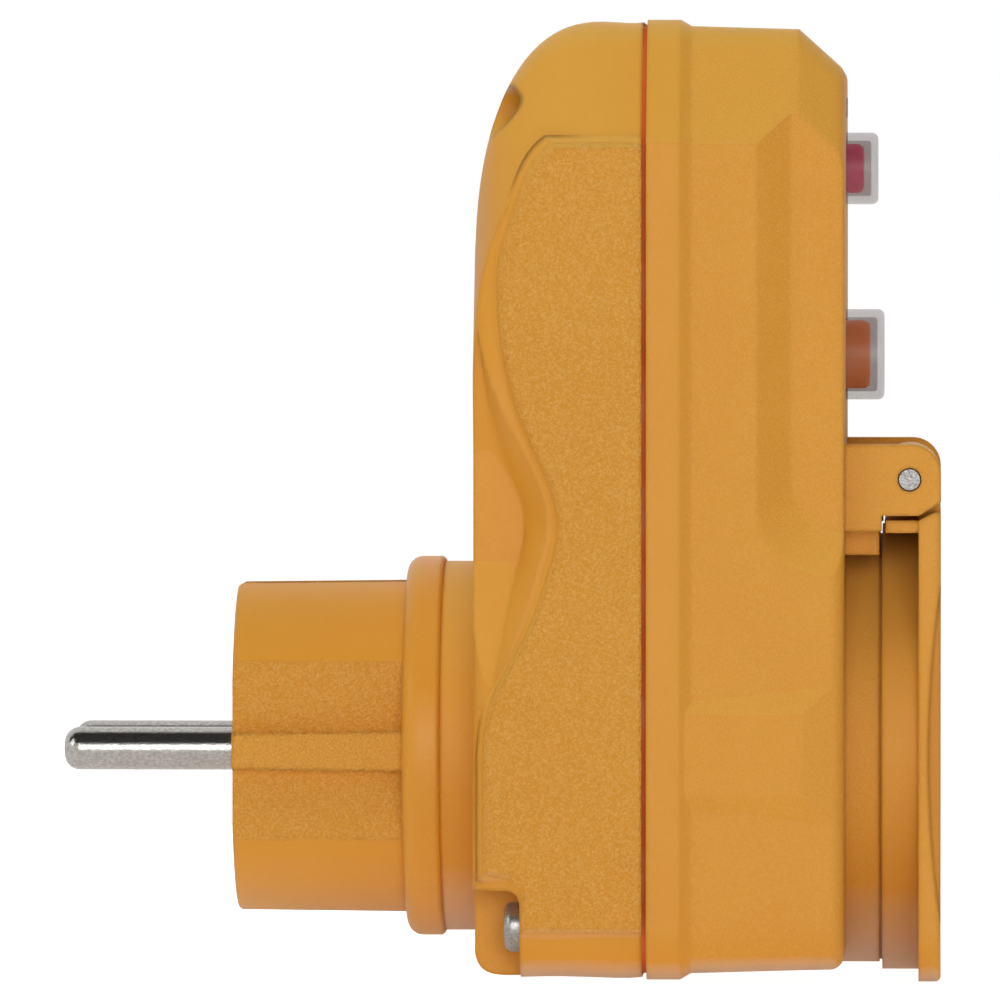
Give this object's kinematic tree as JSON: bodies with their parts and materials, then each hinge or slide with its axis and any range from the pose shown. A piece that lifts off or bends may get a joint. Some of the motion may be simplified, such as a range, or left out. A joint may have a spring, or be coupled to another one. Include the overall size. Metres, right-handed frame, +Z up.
{
  "type": "rcd adapter plug",
  "caption": "Plug-in residual-current adapter: earthed plug behind, spring-lidded socket in front, test and reset buttons under soft caps above it.",
  "frame": {"origin": "centre of the plug's engagement face, on the plug's axis", "axes": "-X along the plug towards the wall, +X towards the lid, +Z up, Y across the width"},
  "size_m": [0.0974, 0.064, 0.1059],
  "materials": {
    "shell_orange": "fine spark-eroded grain, yellow-orange",
    "seal_red": "matte red-brown",
    "nickel": "nickel plate",
    "steel": "zinc plate",
    "brass": "plain",
    "copper": "enamelled copper",
    "wire_brown": "insulation",
    "wire_blue": "insulation",
    "board_green": "solder mask",
    "core_grey": "ferrite",
    "part_black": "moulded",
    "part_blue": "lacquer",
    "led_red": "clear red",
    "lens_clear": "frosted",
    "inner_grey": "natural",
    "cap_frosted": "frosted translucent silicone",
    "button_pink": "crimson",
    "button_red": "orange-red"
  },
  "bodies": {
    "housing": {"rear_housing": "shell_orange", "front_housing": "shell_orange", "plug_body": "shell_orange", "plug_seal_ring": "shell_orange", "socket_insert": "shell_orange", "housing_gasket": "seal_red", "plug_pin_left": "nickel", "plug_pin_right": "nickel", "plug_earth_bracket": "nickel", "hinge_pin": "steel", "housing_screws": "steel", "board_screws": "steel", "latch_pivot_pin": "steel", "test_return_spring": "steel", "reset_return_spring": "steel", "armature_spring": "steel", "trip_coil_yoke": "steel", "socket_contact_left": "brass", "socket_contact_right": "brass", "socket_earth_bracket": "brass", "fixed_contacts": "brass", "test_contact_spring": "brass", "earth_conductor": "copper", "transformer_winding": "copper", "trip_coil_winding": "copper", "live_conductor": "wire_brown", "neutral_conductor": "wire_blue", "circuit_board": "board_green", "current_transformer_core": "core_grey", "control_chip": "part_black", "capacitor": "part_black", "rectifier_diodes": "part_black", "varistor": "part_blue", "board_resistors": "part_blue", "status_led": "led_red", "indicator_lens": "lens_clear", "button_frame": "inner_grey", "trip_coil_bobbin": "inner_grey", "test_button_cap": "cap_frosted", "reset_button_cap": "cap_frosted"},
    "lid": {"lid": "shell_orange", "lid_gasket": "seal_red", "lid_spring": "steel"},
    "test_button": {"test_plunger": "button_pink"},
    "reset_button": {"reset_plunger": "button_red"},
    "carrier": {"contact_carrier": "inner_grey", "moving_contacts": "brass"},
    "armature": {"trip_armature": "steel"},
    "latch": {"latch_lever": "inner_grey"}
  },
  "joints": [
    {"name": "lid_hinge", "type": "hinge", "parent": "housing", "child": "lid", "pos_m": [0.07495, 0, 0.03025], "axis": [0, -1, 0], "range_deg": [0, 110], "stiffness_Nm_per_rad": 0.02, "springref_deg": -51.57, "deforming": ["lid_spring"]},
    {"name": "test_press", "type": "slide", "parent": "housing", "child": "test_button", "axis": [-1, 0, 0], "range_m": [0, 0.0015], "stiffness_N_per_m": 800, "springref_m": -0.0012, "deforming": ["test_return_spring", "test_button_cap"]},
    {"name": "reset_press", "type": "slide", "parent": "housing", "child": "reset_button", "axis": [-1, 0, 0], "range_m": [0, 0.002], "stiffness_N_per_m": 800, "springref_m": -0.0012, "deforming": ["reset_return_spring", "reset_button_cap"]},
    {"name": "carrier_slide", "type": "slide", "parent": "housing", "child": "carrier", "axis": [-1, 0, 0], "range_m": [0, 0.002]},
    {"name": "armature_pull", "type": "slide", "parent": "housing", "child": "armature", "axis": [0, 0, 1], "range_m": [0, 0.001], "stiffness_N_per_m": 400, "springref_m": -0.001, "deforming": ["armature_spring"]},
    {"name": "latch_pivot", "type": "hinge", "parent": "housing", "child": "latch", "pos_m": [0.0535, 0.0085, 0.0474], "axis": [1, 0, 0], "range_deg": [0, 12.5]}
  ],
  "couplings": [
    {"joint": "carrier_slide", "follows": "reset_press", "ratio": 1},
    {"joint": "latch_pivot", "follows": "armature_pull", "rad_per_m": 212.77}
  ]
}
